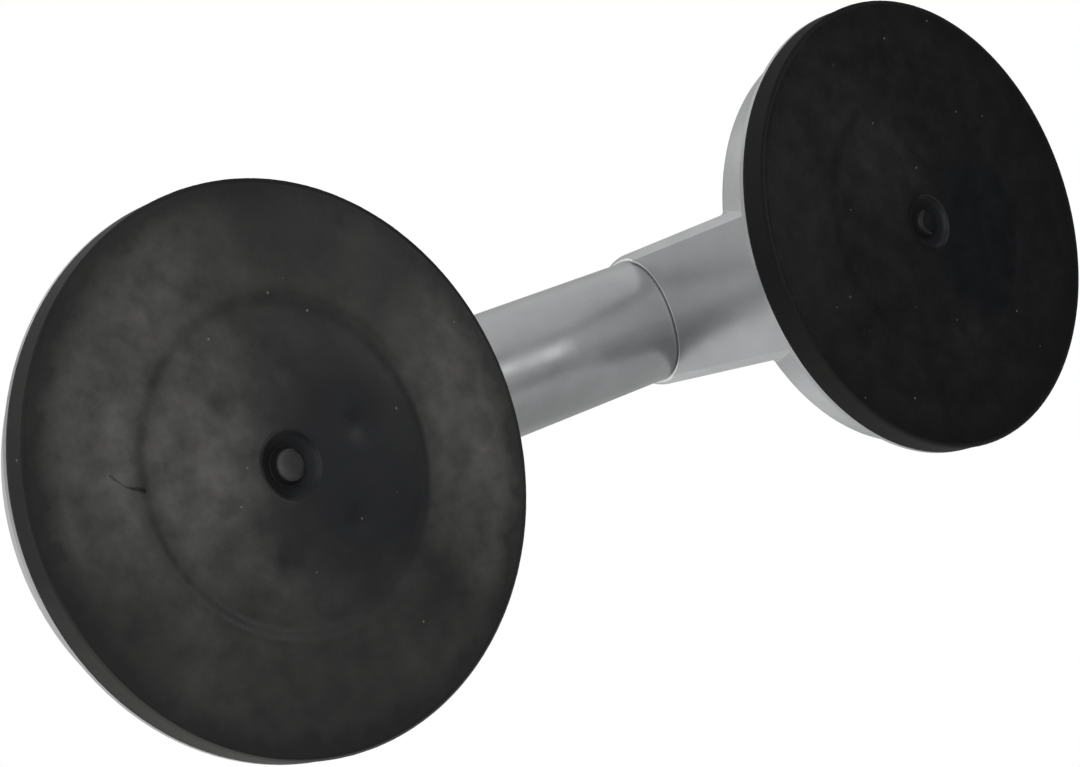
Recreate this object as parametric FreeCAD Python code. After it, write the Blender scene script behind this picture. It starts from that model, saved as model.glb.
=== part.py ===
import FreeCAD, Part
import math
import os
from FreeCAD import Vector

os.makedirs("parts", exist_ok=True)

# Floor tile suction lifter: two rubber suction cups joined by a tube grip.
# Millimetres. The tool stands on its pads: z = 0 is the surface under them,
# +X runs along the grip to the right-hand cup, and +Z is up.
# Each cup is built with its own axis on Z and the grip on its -X side, then
# moved out to the right; the left-hand cup is its mirror image.

# Overall layout
cup_spacing = 212.0
cup_radius = 60.0
tube_height = 60.0

# Clearances
soft_gap = 0.3
running_gap = 0.05
fitted_gap = 0.02
side_gap = 0.3
cam_gap = 0.2

# Rubber pad
pad_thickness = 6.2
pad_bevel_width = 2.8
pad_bevel_height = 0.6
pad_skin = 3.3
face_step = 0.9
face_crown = 0.7
step_width = 1.8
moat_radius = 7.2
moat_floor_outer = 5.6
moat_floor_inner = 4.4
moat_floor = 2.4
nub_radius = 3.6
nub_height = 0.5
key_root = 1.0

# Backing plate, moulded into the pad
plate_radius = 34.0
plate_thickness = 3.0
plate_hole_radius = 4.0
plate_hole_circle = 20.0
plate_hole_count = 6

# Pull stud
stud_radius = 6.0
stud_tail_radius = 3.5
stud_flange_radius = 12.0
stud_flange_thickness = 2.5
eye_half_width = 4.0
eye_crown = 6.5
stud_chamfer = 0.5

# Cup housing
lip_thickness = 1.5
lip_step = 1.1
lip_chamfer = 0.3
wall_taper = 4.9
housing_top = 22.0
housing_edge_round = 4.5
land_width = 11.0
cavity_draft = 1.5
top_wall = 4.0
dish_depth = 1.3
dish_rim_width = 7.0
boss_radius = 19.0
boss_slope = 3.0
dish_round = 2.0
boss_round = 1.0
rib_count = 8
rib_thickness = 2.4
rib_depth = 1.6
hub_radius = 14.0
hub_gap = 0.8

# Neck
neck_set_in = 0.1
neck_draft = 0.071
neck_side_draft = 0.030
neck_foot_half_width = 19.8
neck_chamfer_side = 2.5
neck_chamfer_face = 3.0
head_wall = 5.0
neck_foot_depth = 33.0
neck_round = 3.0
neck_back_round = 40.0
foot_round = 1.2

# Grip tube and its fixings
tube_radius = 16.5
tube_wall = 2.5
socket_depth = 18.0
socket_rebate = 0.5
plug_length = 16.0
plug_chamfer = 1.0
bolt_radius = 3.0
bolt_length = 16.0
bolt_head_radius = 5.2
bolt_head_height = 3.2
bolt_head_round = 1.4
bolt_socket_radius = 2.2
bolt_socket_depth = 1.8

# Cam plate
cam_plate_radius = 15.0
cam_plate_thickness = 3.0
cam_plate_recess = 1.0
cam_plate_chamfer = 0.5

# Lever
lift = 5.0
cam_radius = 7.5
cheek_half_width = 12.5
lever_half_width = 15.5
lever_length = 63.5
lever_wall = 2.8
lever_skin = 3.0
lever_round = 2.0
lever_rib = 1.8
lever_rib_step = 2.0
lever_rib_count = 2
lever_tip_round = 9.0
lever_tip_margin = 7.0
lever_foot_share = 0.42
lever_head_share = 0.74
lever_grip_share = 0.76
waist_round = 24.0
flare_round = 24.0
back_round = 40.0
heel_round = 30.0
knuckle_round = 5.5
toe_round = 4.0
shoulder_round = 9.0
toe_share = 0.8
shoulder_share = 1.9
pocket_share = 1.25
pocket_tip_share = 0.35
pocket_foot_round = 3.0
pocket_tip_round = 6.0
pocket_edge_round = 2.0
knuckle_depth = 10.0
handle_drop = 4.5
handle_depth = 9.0
tip_flare = 8.5
tip_depth = 4.6

# Pivot pin
pin_radius = 2.5
pin_head_radius = 4.2
pin_head_height = 2.0
pin_tail = 2.2
washer_radius = 5.0
washer_thickness = 0.8
clip_radius = 4.6
clip_thickness = 0.7
clip_groove_depth = 0.6
clip_band = 1.3
clip_mouth_share = 0.85
clip_lobe_width = 2.0
clip_lobe_angles = (60, 180, 300)
pin_head_round = 0.8
pin_tail_chamfer = 0.5

# Heights and places that follow
step_radius = plate_radius + step_width / 2
wall_foot_radius = cup_radius - lip_step
wall_top_radius = wall_foot_radius - wall_taper
neck_face_radius = cup_radius - neck_set_in
seat_height = pad_thickness + soft_gap
lip_top = seat_height + lip_thickness
plate_bottom = pad_skin + soft_gap
plate_top = plate_bottom + plate_thickness
cam_plate_top = housing_top - cam_plate_recess + cam_plate_thickness
pin_height = cam_plate_top + cam_gap + cam_radius
cam_rate = lift / (math.pi / 2)
cavity_radius = cup_radius - land_width
neck_foot = lip_top - lip_chamfer
head_radius = neck_foot_half_width - neck_side_draft * (tube_height - neck_foot)
neck_limit = tube_height + 2 * head_radius
face_radius_at_tube = neck_face_radius - neck_draft * (tube_height - neck_foot)
socket_end = -(face_radius_at_tube - socket_depth)
head_back = socket_end + head_wall
pin_near_end = -cheek_half_width - fitted_gap
pin_far_end = cheek_half_width + washer_thickness + clip_thickness + pin_tail


def in_xz(a, b):
    """A point of an outline drawn on the cup's middle plane."""
    return Vector(a, 0, b)


def in_yz(a, b):
    """A point of an outline drawn across the grip."""
    return Vector(0, a, b)


def rounded_edges(corners, to_space, closed):
    """Straight edges through (a, b, radius) corners, each corner rounded by its radius."""
    points = [to_space(a, b) for a, b, radius in corners]
    count = len(points)
    stops = []
    for index, corner in enumerate(corners):
        here = points[index]
        open_end = not closed and index in (0, count - 1)
        if corner[2] == 0 or open_end:
            stops.append((here, None, here))
            continue
        back = (points[index - 1] - here).normalize()
        ahead = (points[(index + 1) % count] - here).normalize()
        half = math.acos(max(-1, min(1, back.dot(ahead)))) / 2
        reach = corner[2] / math.tan(half)
        bisector = (back + ahead).normalize()
        crown = here + bisector * (corner[2] / math.sin(half) - corner[2])
        stops.append((here + back * reach, crown, here + ahead * reach))
    edges = []
    for index, (enter, crown, leave) in enumerate(stops):
        if crown is not None:
            edges.append(Part.Arc(enter, crown, leave).toShape())
        if index == count - 1 and not closed:
            break
        following = stops[(index + 1) % count][0]
        if leave.distanceToPoint(following) > 1e-6:
            edges.append(Part.LineSegment(leave, following).toShape())
    return edges


def face_of(edges):
    """The flat face inside a closed chain of edges."""
    return Part.Face(Part.Wire(Part.__sortEdges__(edges)))


def revolved(corners):
    """The solid swept by a closed (radius, height, rounding) outline about the cup's axis."""
    face = face_of(rounded_edges(corners, in_xz, True))
    return face.revolve(Vector(0, 0, 0), Vector(0, 0, 1), 360)


def across(edges, half_width):
    """An outline on the middle plane, made into a solid that reaches half_width to each side."""
    face = face_of(edges)
    face.translate(Vector(0, -half_width, 0))
    return face.extrude(Vector(0, 2 * half_width, 0))


def along(edges, start, end):
    """An outline across the grip, made into a solid from start to end along X."""
    face = face_of(edges)
    face.translate(Vector(start, 0, 0))
    return face.extrude(Vector(end - start, 0, 0))


def rod_x(radius, start, end, height):
    """A round bar along X on the middle plane."""
    return Part.makeCylinder(radius, end - start, Vector(start, 0, height), Vector(1, 0, 0))


def rod_y(radius, start, end, height):
    """A round bar along Y through the cup's axis."""
    return Part.makeCylinder(radius, end - start, Vector(0, start, height), Vector(0, 1, 0))


def rod_z(radius, start, end):
    """A round bar on the cup's axis."""
    return Part.makeCylinder(radius, end - start, Vector(0, 0, start))


def ring_of(shape, count):
    """Copies of a shape spaced evenly about the cup's axis."""
    copies = []
    for index in range(count):
        copy = shape.copy()
        copy.rotate(Vector(0, 0, 0), Vector(0, 0, 1), 360 * index / count)
        copies.append(copy)
    return copies


def plate_hole(radius, start, end):
    """One of the bars that stand on the backing plate's circle of holes."""
    return Part.makeCylinder(radius, end - start, Vector(plate_hole_circle, 0, start))


def suction_pad():
    """Rubber pad: flat rim, stepped and crowned middle with a moat round its nub, plate pocket."""
    pocket_radius = plate_radius + soft_gap
    pad = revolved([
        (0, nub_height, 0),
        (nub_radius, nub_height, 0),
        (moat_floor_inner, moat_floor, 0),
        (moat_floor_outer, moat_floor, 0),
        (moat_radius, face_step - face_crown, 0),
        (step_radius - step_width / 2, face_step, 0),
        (step_radius + step_width / 2, 0, 0),
        (cup_radius - pad_bevel_width, 0, 0),
        (cup_radius, pad_bevel_height, 0),
        (cup_radius, pad_thickness, 0),
        (pocket_radius, pad_thickness, 0),
        (pocket_radius, pad_skin, 0),
        (0, pad_skin, 0),
    ])
    key = plate_hole(plate_hole_radius - soft_gap, pad_skin - key_root, plate_top)
    keys = ring_of(key, plate_hole_count)
    return pad.fuse(keys).removeSplitter()


def backing_plate():
    """Steel disc moulded into the pad, with holes that the rubber keys into."""
    plate = rod_z(plate_radius, plate_bottom, plate_top)
    holes = ring_of(plate_hole(plate_hole_radius, plate_bottom, plate_top), plate_hole_count)
    return plate.cut(holes + [rod_z(stud_tail_radius + fitted_gap, plate_bottom, plate_top)])


def pull_stud():
    """Stud riveted to the backing plate, flattened at the top into an eye for the pin."""
    flange_top = plate_top + stud_flange_thickness
    eye_foot = cam_plate_top - lift - 2 * side_gap
    stud = revolved([
        (0, plate_bottom, 0),
        (stud_tail_radius - stud_chamfer, plate_bottom, 0),
        (stud_tail_radius, plate_bottom + stud_chamfer, 0),
        (stud_tail_radius, plate_top, 0),
        (stud_flange_radius, plate_top, 0),
        (stud_flange_radius, flange_top, 0),
        (stud_radius, flange_top, 0),
        (stud_radius, pin_height + eye_crown, 0),
        (0, pin_height + eye_crown, 0),
    ])
    crown = rod_y(eye_crown, -stud_radius, stud_radius, pin_height)
    below = Part.makeBox(4 * stud_flange_radius, 4 * stud_flange_radius, pin_height,
                         Vector(-2 * stud_flange_radius, -2 * stud_flange_radius, 0))
    stud = stud.common(crown.fuse(below))
    for side in (-1, 1):
        flat = Part.makeBox(2 * stud_radius, stud_radius, 2 * pin_height,
                            Vector(-stud_radius, side * eye_half_width - (side < 0) * stud_radius,
                                   eye_foot))
        stud = stud.cut(flat)
    return stud.cut(rod_y(pin_radius + running_gap, -stud_radius, stud_radius, pin_height))


def cup_shell():
    """Cast housing: flange lip, tapered wall, rounded top edge and a shallow dish round the boss."""
    dish_outer = wall_top_radius - dish_rim_width
    dish_floor = housing_top - dish_depth
    return revolved([
        (0, seat_height, 0),
        (cup_radius, seat_height, 0),
        (cup_radius, lip_top - lip_chamfer, 0),
        (cup_radius - lip_chamfer, lip_top, 0),
        (wall_foot_radius, lip_top, 0),
        (wall_top_radius, housing_top, housing_edge_round),
        (dish_outer, housing_top, dish_round),
        (dish_outer - boss_slope, dish_floor, dish_round),
        (boss_radius + boss_slope, dish_floor, dish_round),
        (boss_radius, housing_top, boss_round),
        (0, housing_top, 0),
    ])


def cup_cavity():
    """Room inside the housing for the middle of the pad to rise, with a hub and ribs under the top."""
    cavity_top = housing_top - dish_depth - top_wall
    hub_bottom = plate_top + stud_flange_thickness + lift + hub_gap
    cavity = revolved([
        (0, seat_height - 1, 0),
        (cavity_radius, seat_height - 1, 0),
        (cavity_radius - cavity_draft, cavity_top, 0),
        (hub_radius, cavity_top, 0),
        (hub_radius, hub_bottom, 0),
        (0, hub_bottom, 0),
    ])
    rib = Part.makeBox(cavity_radius, rib_thickness, rib_depth + 1,
                       Vector(0, -rib_thickness / 2, cavity_top - rib_depth))
    return cavity.cut(ring_of(rib, rib_count))


def neck_cone(set_in):
    """The round face of the neck as a cone on the cup's axis, moved inward by set_in."""
    height = neck_limit - neck_foot
    top_radius = neck_face_radius - neck_draft * height
    return Part.makeCone(neck_face_radius - set_in, top_radius - set_in, height, Vector(0, 0, neck_foot))


def neck():
    """Column from the housing's edge up to the tube, its face coaxial with the cup."""
    corner = (neck_foot_half_width, neck_foot - tube_height)
    reach = math.hypot(corner[0], corner[1])
    lean = math.atan2(corner[1], corner[0]) + math.acos(head_radius / reach)
    side = (head_radius * math.cos(lean), tube_height + head_radius * math.sin(lean))
    crown = in_yz(0, tube_height + head_radius)
    foot = neck_foot
    front = [
        Part.LineSegment(in_yz(-corner[0], foot), in_yz(corner[0], foot)).toShape(),
        Part.LineSegment(in_yz(corner[0], foot), in_yz(side[0], side[1])).toShape(),
        Part.Arc(in_yz(side[0], side[1]), crown, in_yz(-side[0], side[1])).toShape(),
        Part.LineSegment(in_yz(-side[0], side[1]), in_yz(-corner[0], foot)).toShape(),
    ]
    column = along(front, -2 * neck_face_radius, 0)
    foot_back = -(neck_face_radius - neck_foot_depth)
    outline = across(rounded_edges([
        (-2 * neck_face_radius, foot, 0),
        (foot_back, foot, 0),
        (foot_back, housing_top, 0),
        (head_back, tube_height - head_radius, neck_back_round),
        (head_back, neck_limit, 0),
        (-2 * neck_face_radius, neck_limit, 0),
    ], in_xz, True), 2 * neck_foot_half_width)
    return column.common(outline).common(neck_cone(0))


def edges_where(shape, test):
    """The edges whose middle point passes a test."""
    chosen = []
    for edge in shape.Edges:
        if edge.Degenerated:
            continue
        middle = edge.valueAt((edge.FirstParameter + edge.LastParameter) / 2)
        if test(middle):
            chosen.append(edge)
    return chosen


def end_casting():
    """Cup housing and neck in one casting, with the tube socket and the seat of the cam plate."""
    column = neck()

    def on_face(point):
        """True on the rim of the neck's coaxial face."""
        face_radius = neck_face_radius - neck_draft * (point.z - neck_foot)
        return abs(math.hypot(point.x, point.y) - face_radius) < 0.05 and point.z > lip_top + 1

    def on_back(point):
        """True on the rim of the neck's back, above the housing."""
        at_rim = abs(point.y) > tube_radius or point.z > tube_height + tube_radius
        return at_rim and point.x > head_back - 1 and point.z > housing_top + 1

    column = column.makeFillet(neck_round, edges_where(column, on_back))
    column = column.makeChamfer(neck_chamfer_face, neck_chamfer_side, edges_where(column, on_face))
    shell = cup_shell()
    casting = shell.fuse(column).removeSplitter()

    def on_junction(point):
        """True where the neck meets the top of the housing."""
        spot = Part.Vertex(point)
        near_both = max(spot.distToShape(shell)[0], spot.distToShape(column)[0]) < 0.01
        return near_both and point.z > lip_top + neck_chamfer_face + foot_round

    casting = casting.makeFillet(foot_round, edges_where(casting, on_junction)).cut(cup_cavity())
    bore_start = socket_end - socket_depth - head_radius
    bore = rod_x(tube_radius + fitted_gap, bore_start, socket_end, tube_height)
    mouth = rod_x(tube_radius + socket_rebate, bore_start, 0, tube_height).cut(neck_cone(socket_rebate))
    casting = casting.cut([bore, mouth])
    casting = casting.cut([
        rod_x(bolt_radius + side_gap, socket_end - 1, head_back + 1, tube_height),
        rod_z(cam_plate_radius + fitted_gap, housing_top - cam_plate_recess, housing_top + 1),
        rod_z(stud_radius + running_gap, 0, housing_top + 1),
    ])
    return casting


def cam_plate():
    """Hard-wearing disc that the lever's cam slides on."""
    bottom = housing_top - cam_plate_recess
    disc = revolved([
        (stud_radius + side_gap, bottom, 0),
        (cam_plate_radius, bottom, 0),
        (cam_plate_radius, cam_plate_top - cam_plate_chamfer, 0),
        (cam_plate_radius - cam_plate_chamfer, cam_plate_top, 0),
        (stud_radius + side_gap, cam_plate_top, 0),
    ])
    return disc


def cam_edge():
    """The cam's working curve: its reach to the plate grows evenly with the lever's angle."""
    points = []
    steps = 12
    for step in range(steps + 1):
        angle = math.pi / 2 * step / steps
        reach = cam_radius + cam_rate * angle
        points.append(in_xz(reach * math.sin(angle) + cam_rate * math.cos(angle),
                            pin_height - reach * math.cos(angle) + cam_rate * math.sin(angle)))
    curve = Part.BSplineCurve()
    curve.interpolate(points)
    return curve.toShape()


def lever_front():
    """The lever's outline seen along the grip: cheeks at the foot, wider handle, round tip."""
    waist = pin_height + cam_radius
    flare = waist + lever_length / 4
    tip = pin_height + lever_length
    return [
        (-cheek_half_width, pin_height - 2 * cam_radius, 0),
        (cheek_half_width, pin_height - 2 * cam_radius, 0),
        (cheek_half_width, waist, waist_round),
        (lever_half_width, flare, flare_round),
        (lever_half_width, tip, lever_tip_round),
        (-lever_half_width, tip, lever_tip_round),
        (-lever_half_width, flare, flare_round),
        (-cheek_half_width, waist, waist_round),
    ]


def lever_back(offset):
    """The lever's back from its foot to its tip, moved inward by an offset."""
    tip = pin_height + lever_length
    return [
        (-knuckle_depth + offset, pin_height - cam_radius + offset),
        (-knuckle_depth + offset, pin_height + knuckle_depth),
        (-handle_drop + offset, pin_height + lever_length * lever_foot_share),
        (-handle_drop + offset, pin_height + lever_length * lever_head_share),
        (-tip_flare + offset, tip),
    ]


def lever():
    """Cam lever: two cheeks round the stud's eye, and a hollow handle with cross ribs."""
    tip = pin_height + lever_length
    lobe = cam_radius + lift
    back = lever_back(0)
    curve = cam_edge()
    heel = curve.valueAt(curve.FirstParameter)
    toe = curve.valueAt(curve.LastParameter)
    path = [
        (toe.x, toe.z, 0),
        (lobe, pin_height + lobe * toe_share, toe_round),
        (handle_depth - handle_drop, pin_height + lobe * shoulder_share, shoulder_round),
        (handle_depth - handle_drop - 1, pin_height + lever_length * lever_grip_share, heel_round),
        (tip_depth - tip_flare, tip, 0),
        (back[4][0], back[4][1], 0),
        (back[3][0], back[3][1], back_round),
        (back[2][0], back[2][1], back_round),
        (back[1][0], back[1][1], heel_round),
        (back[0][0], back[0][1], knuckle_round),
        (heel.x, heel.z, 0),
    ]
    body = across(rounded_edges(path, in_xz, False) + [curve], 2 * lever_half_width)
    front = along(rounded_edges(lever_front(), in_yz, True), -lever_length, lever_length)
    body = body.common(front)

    def on_back(point):
        """True on the edges round the lever's back."""
        at_side = abs(point.y) > cheek_half_width - 3
        at_tip = point.z > tip - 0.01 and point.x < 0.01 - tip_flare
        return point.x < -tip_flare / 3 - 1 and (at_side or at_tip)

    body = body.makeFillet(lever_round, edges_where(body, on_back))
    skin = lever_back(lever_skin)
    inner_half = lever_half_width - lever_wall
    pocket_foot = pin_height + lobe * pocket_share
    pocket_tip = tip - lever_tip_margin
    pocket_back = skin[3][0] - (tip_flare - handle_drop) * pocket_tip_share
    hollow = across(rounded_edges([
        (skin[1][0], pocket_foot, pocket_edge_round),
        (skin[2][0], skin[2][1], back_round),
        (skin[3][0], skin[3][1], back_round),
        (pocket_back, pocket_tip, pocket_edge_round),
        (lever_length, pocket_tip, 0),
        (lever_length, pocket_foot, 0),
    ], in_xz, True), 2 * lever_half_width)
    window = along(rounded_edges([
        (-inner_half, pocket_foot, pocket_foot_round),
        (inner_half, pocket_foot, pocket_foot_round),
        (inner_half, pocket_tip, pocket_tip_round),
        (-inner_half, pocket_tip, pocket_tip_round),
    ], in_yz, True), -lever_length, lever_length)
    hollow = hollow.common(window)
    rib_top = handle_depth - handle_drop - lever_rib_step
    pitch = (pocket_tip - pocket_foot) / (lever_rib_count + 1)
    ribs = [Part.makeBox(lever_length + rib_top, lever_rib, lever_length,
                         Vector(-lever_length, -lever_rib / 2, pin_height))]
    for index in range(lever_rib_count):
        height = pocket_foot + pitch * (index + 1) - lever_rib / 2
        ribs.append(Part.makeBox(lever_length + rib_top, 2 * lever_half_width, lever_rib,
                                 Vector(-lever_length, -lever_half_width, height)))
    body = body.cut(hollow.cut(ribs))
    slot_half = eye_half_width + side_gap
    slot_back = stud_radius + side_gap * 2
    slot_top = pin_height + eye_crown + side_gap * 2
    slot = Part.makeBox(2 * lobe + slot_back, 2 * slot_half, slot_top,
                        Vector(-slot_back, -slot_half, 0))
    body = body.cut(slot)
    return body.cut(rod_y(pin_radius + fitted_gap, -lever_length, lever_length, pin_height))


def pivot_pin():
    """Headed pin with a groove for its clip."""
    head_start = pin_near_end - pin_head_height
    pin = rod_y(pin_radius, pin_near_end, pin_far_end, pin_height)
    head = rod_y(pin_head_radius, head_start, pin_near_end, pin_height)
    head = head.makeFillet(pin_head_round, edges_where(head, lambda point: abs(point.y - head_start) < 0.01))
    pin = pin.makeChamfer(pin_tail_chamfer, edges_where(pin, lambda point: abs(point.y - pin_far_end) < 0.01))
    groove_start = cheek_half_width + washer_thickness + 2 * fitted_gap
    groove_end = groove_start + clip_thickness + fitted_gap
    groove = rod_y(2 * pin_radius, groove_start, groove_end, pin_height)
    core = rod_y(pin_radius - clip_groove_depth, groove_start, groove_end, pin_height)
    return pin.fuse(head).cut(groove.cut(core)).removeSplitter()


def pin_washer():
    """Plain washer between the lever's cheek and the clip."""
    start = cheek_half_width + fitted_gap
    end = start + washer_thickness
    washer = rod_y(washer_radius, start, end, pin_height)
    return washer.cut(rod_y(pin_radius + running_gap, start, end, pin_height))


def pin_clip():
    """Spring clip pushed into the pin's groove from the side."""
    start = cheek_half_width + washer_thickness + 2 * fitted_gap
    end = start + clip_thickness
    core_radius = pin_radius - clip_groove_depth + fitted_gap
    clip = rod_y(clip_radius, start, end, pin_height)
    relief = rod_y(clip_radius - clip_band, start, end, pin_height)
    mouth_half = clip_mouth_share * core_radius
    mouth = Part.makeBox(2 * clip_radius, end - start, 2 * mouth_half,
                         Vector(0, start, pin_height - mouth_half))
    lobes = []
    for turn in clip_lobe_angles:
        lobe = Part.makeBox(clip_radius - clip_band / 2, end - start, clip_lobe_width,
                            Vector(0, start, pin_height - clip_lobe_width / 2))
        lobe.rotate(Vector(0, start, pin_height), Vector(0, 1, 0), turn)
        lobes.append(lobe)
    band = clip.cut(relief).fuse(lobes)
    return band.cut([mouth, rod_y(core_radius, start, end, pin_height)]).removeSplitter()


def tube_plug():
    """Threaded plug fitted in the tube's end."""
    inner_end = socket_end - plug_length
    plug = rod_x(tube_radius - tube_wall - fitted_gap, inner_end, socket_end, tube_height)
    plug = plug.makeChamfer(plug_chamfer, edges_where(plug, lambda point: abs(point.x - inner_end) < 0.01))
    return plug.cut(rod_x(bolt_radius + fitted_gap, inner_end, socket_end, tube_height))


def tube_bolt():
    """Bolt that draws the tube's plug against the bottom of the casting's socket."""
    head_start = head_back + fitted_gap
    head_end = head_start + bolt_head_height
    shank = rod_x(bolt_radius, head_start - bolt_length, head_start, tube_height)
    head = rod_x(bolt_head_radius, head_start, head_end, tube_height)
    head = head.makeFillet(bolt_head_round, edges_where(head, lambda point: abs(point.x - head_end) < 0.01))
    key = Part.makePolygon([Vector(head_end - bolt_socket_depth,
                                   bolt_socket_radius * math.cos(math.radians(60 * corner)),
                                   tube_height + bolt_socket_radius * math.sin(math.radians(60 * corner)))
                            for corner in range(7)])
    key = Part.Face(key).extrude(Vector(2 * bolt_socket_depth, 0, 0))
    return shank.fuse(head).cut(key).removeSplitter()


def grip_tube():
    """Plain tube between the bottoms of the two sockets."""
    half = cup_spacing / 2 + socket_end
    tube = rod_x(tube_radius, -half, half, tube_height)
    return tube.cut(rod_x(tube_radius - tube_wall, -half, half, tube_height))


def main():
    """Write one STEP file for each piece."""
    grip_tube().exportStep("parts/grip_tube.step")
    pieces = {
        "end_casting": end_casting(),
        "tube_plug": tube_plug(),
        "tube_bolt": tube_bolt(),
        "cam_plate": cam_plate(),
        "suction_pad": suction_pad(),
        "backing_plate": backing_plate(),
        "pull_stud": pull_stud(),
        "lever": lever(),
        "pivot_pin": pivot_pin(),
        "pin_washer": pin_washer(),
        "pin_clip": pin_clip(),
    }
    for name, piece in pieces.items():
        piece.translate(Vector(cup_spacing / 2, 0, 0))
        piece.exportStep("parts/right_" + name + ".step")
        mirrored = piece.mirror(Vector(0, 0, 0), Vector(1, 0, 0))
        mirrored.exportStep("parts/left_" + name + ".step")


main()
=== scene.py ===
"""Floor tile suction lifter: finishes, moulded rubber pads, studio and camera.

This add-on dresses them, and replaces the plain rubber discs with modelled ones. One operator
makes each group of pieces, and a panel lists them. All lengths are in metres.
"""

import math
from dataclasses import dataclass

import bpy
import numpy as np
from mathutils import Matrix, Vector, noise


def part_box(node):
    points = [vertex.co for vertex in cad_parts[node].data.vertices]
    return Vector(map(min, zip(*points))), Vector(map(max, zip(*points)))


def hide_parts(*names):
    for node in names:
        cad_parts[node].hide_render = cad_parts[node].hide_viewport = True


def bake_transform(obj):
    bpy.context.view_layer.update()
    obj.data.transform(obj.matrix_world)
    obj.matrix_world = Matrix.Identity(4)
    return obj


bl_info = {
    "name": "Floor Tile Suction Lifter",
    "version": (1, 0, 0),
    "blender": (4, 5, 0),
    "location": "3D View > Sidebar > Lifter",
    "description": "Dresses a two-cup suction lifter with paint, rubber, steel and a studio",
    "category": "Object",
}

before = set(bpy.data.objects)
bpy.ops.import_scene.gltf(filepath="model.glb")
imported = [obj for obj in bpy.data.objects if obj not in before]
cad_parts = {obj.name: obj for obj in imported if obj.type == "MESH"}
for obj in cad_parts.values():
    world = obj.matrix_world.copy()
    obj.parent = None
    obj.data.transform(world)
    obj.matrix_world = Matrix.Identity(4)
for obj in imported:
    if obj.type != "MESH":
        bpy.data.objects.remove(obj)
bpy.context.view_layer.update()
SIDES = ("left", "right")

# The painted highlight on the edge of each casting round the grip tube: how far it lies off the tube, half
# its width and where it fades out, and how far out along the grip it reaches
SOCKET_EDGE_GAP = 0.00055
SOCKET_EDGE_HALF_WIDTH = 0.00013
SOCKET_EDGE_FADE = 0.00026
SOCKET_EDGE_REACH = 0.0700
# Colour of the painted highlight on the socket edges
SOCKET_HIGHLIGHT_COLOUR = (0.85, 0.85, 0.85, 1.0)

# The pad's body: its top and skin, the shape of its section, and its unevenness as moulded
PAD_TOP = 0.0062
PAD_SKIN = 0.0033
PLATE_POCKET_GAP = 0.0003
EDGE_ROUND = 0.00025
HUB_SWELL = 0.00012
NUB_CROWN = 0.00006
MOAT_START_SHARE = 0.92
MOAT_END_SHARE = 1.06
MOAT_STEEP_SHARE = 0.22
FACE_WAVE = 0.00006
RIM_WAVE = 0.00005
WAVE_SCALE = 45
FLASH_LINES = (0.10, 0.95)
FLASH_SPREAD = 0.0005
WALL_BAND = 0.0002
RIM_BAND = 0.0007
RIM_EASE = 0.0005
SPOKES = 480
SINK_COUNT = 6

# Where the rubber's colour and gloss change, as radii from the pad's axis
NUB_SHADE_RADIUS = 0.0036
NUB_SIDE_RADIUS = 0.0042
MOAT_SHADE_RADIUS = 0.0061
SINK_SHADE_CIRCLE = 0.0200
STEP_SHADE_RADIUS = 0.0345
RIM_SHADE_RADIUS = 0.0530
WALL_SHADE_RADIUS = 0.0588
SPECK_COLOUR = (0.14, 0.14, 0.13, 1.0)
SCRATCH_COLOUR = (0.003, 0.003, 0.003, 1.0)
# Cool tint of the painted dark reflection
DARK_REFLECTION_TINT = (0.9, 1.0, 1.25)


@dataclass(frozen=True)
class PadWearAndPaintedLight:
    """How one pad has been used, and the light painted on it: how sharp its relief is, its dust, painted
    sheen, light, shade and dark reflection, and its scratches.
    """

    relief: float
    sink_turn: float
    seed: float
    dust_and_sheen: float
    painted_wall_light: float
    nub_dust: float
    wall_roughness: float
    moat_roughness: float
    dark_reflection: tuple
    patches: tuple
    dark_sinks: int = 0
    scratch: tuple = ()


# The painted dark reflection is centre X and Y and radius; dust patches have how much dust and painted
# sheen more or less as well
WEAR_AND_PAINTED_LIGHT = {
    "left": PadWearAndPaintedLight(
        relief=1.0, sink_turn=-8.0, seed=3.0, dust_and_sheen=0.25, painted_wall_light=1.0, nub_dust=3.7,
        wall_roughness=0.42, moat_roughness=0.30, dark_reflection=(0.020, 0.006, 0.036),
        patches=((-0.028, -0.010, 0.036, 0.53), (-0.018, -0.050, 0.026, 0.26), (0.051, -0.002, 0.028, 0.50),
                 (0.0, 0.056, 0.028, -0.12), (-0.046, 0.012, 0.017, -0.15), (0.020, -0.054, 0.022, -0.14),
                 (0.044, 0.028, 0.020, 0.25), (0.048, -0.030, 0.020, -0.15), (0.026, 0.034, 0.014, -0.12)),
        dark_sinks=SINK_COUNT, scratch=((-0.0405, -0.0104), (-0.0380, -0.0073), (-0.0342, -0.0054))),
    "right": PadWearAndPaintedLight(
        relief=0.12, sink_turn=188.0, seed=11.0, dust_and_sheen=0.026, painted_wall_light=0.25, nub_dust=0.6,
        wall_roughness=0.60, moat_roughness=0.60, dark_reflection=(0.020, 0.010, 0.030),
        patches=((-0.010, -0.024, 0.020, 0.06), (-0.030, -0.010, 0.018, 0.02), (0.0, 0.034, 0.014, 0.03))),
}

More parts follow.
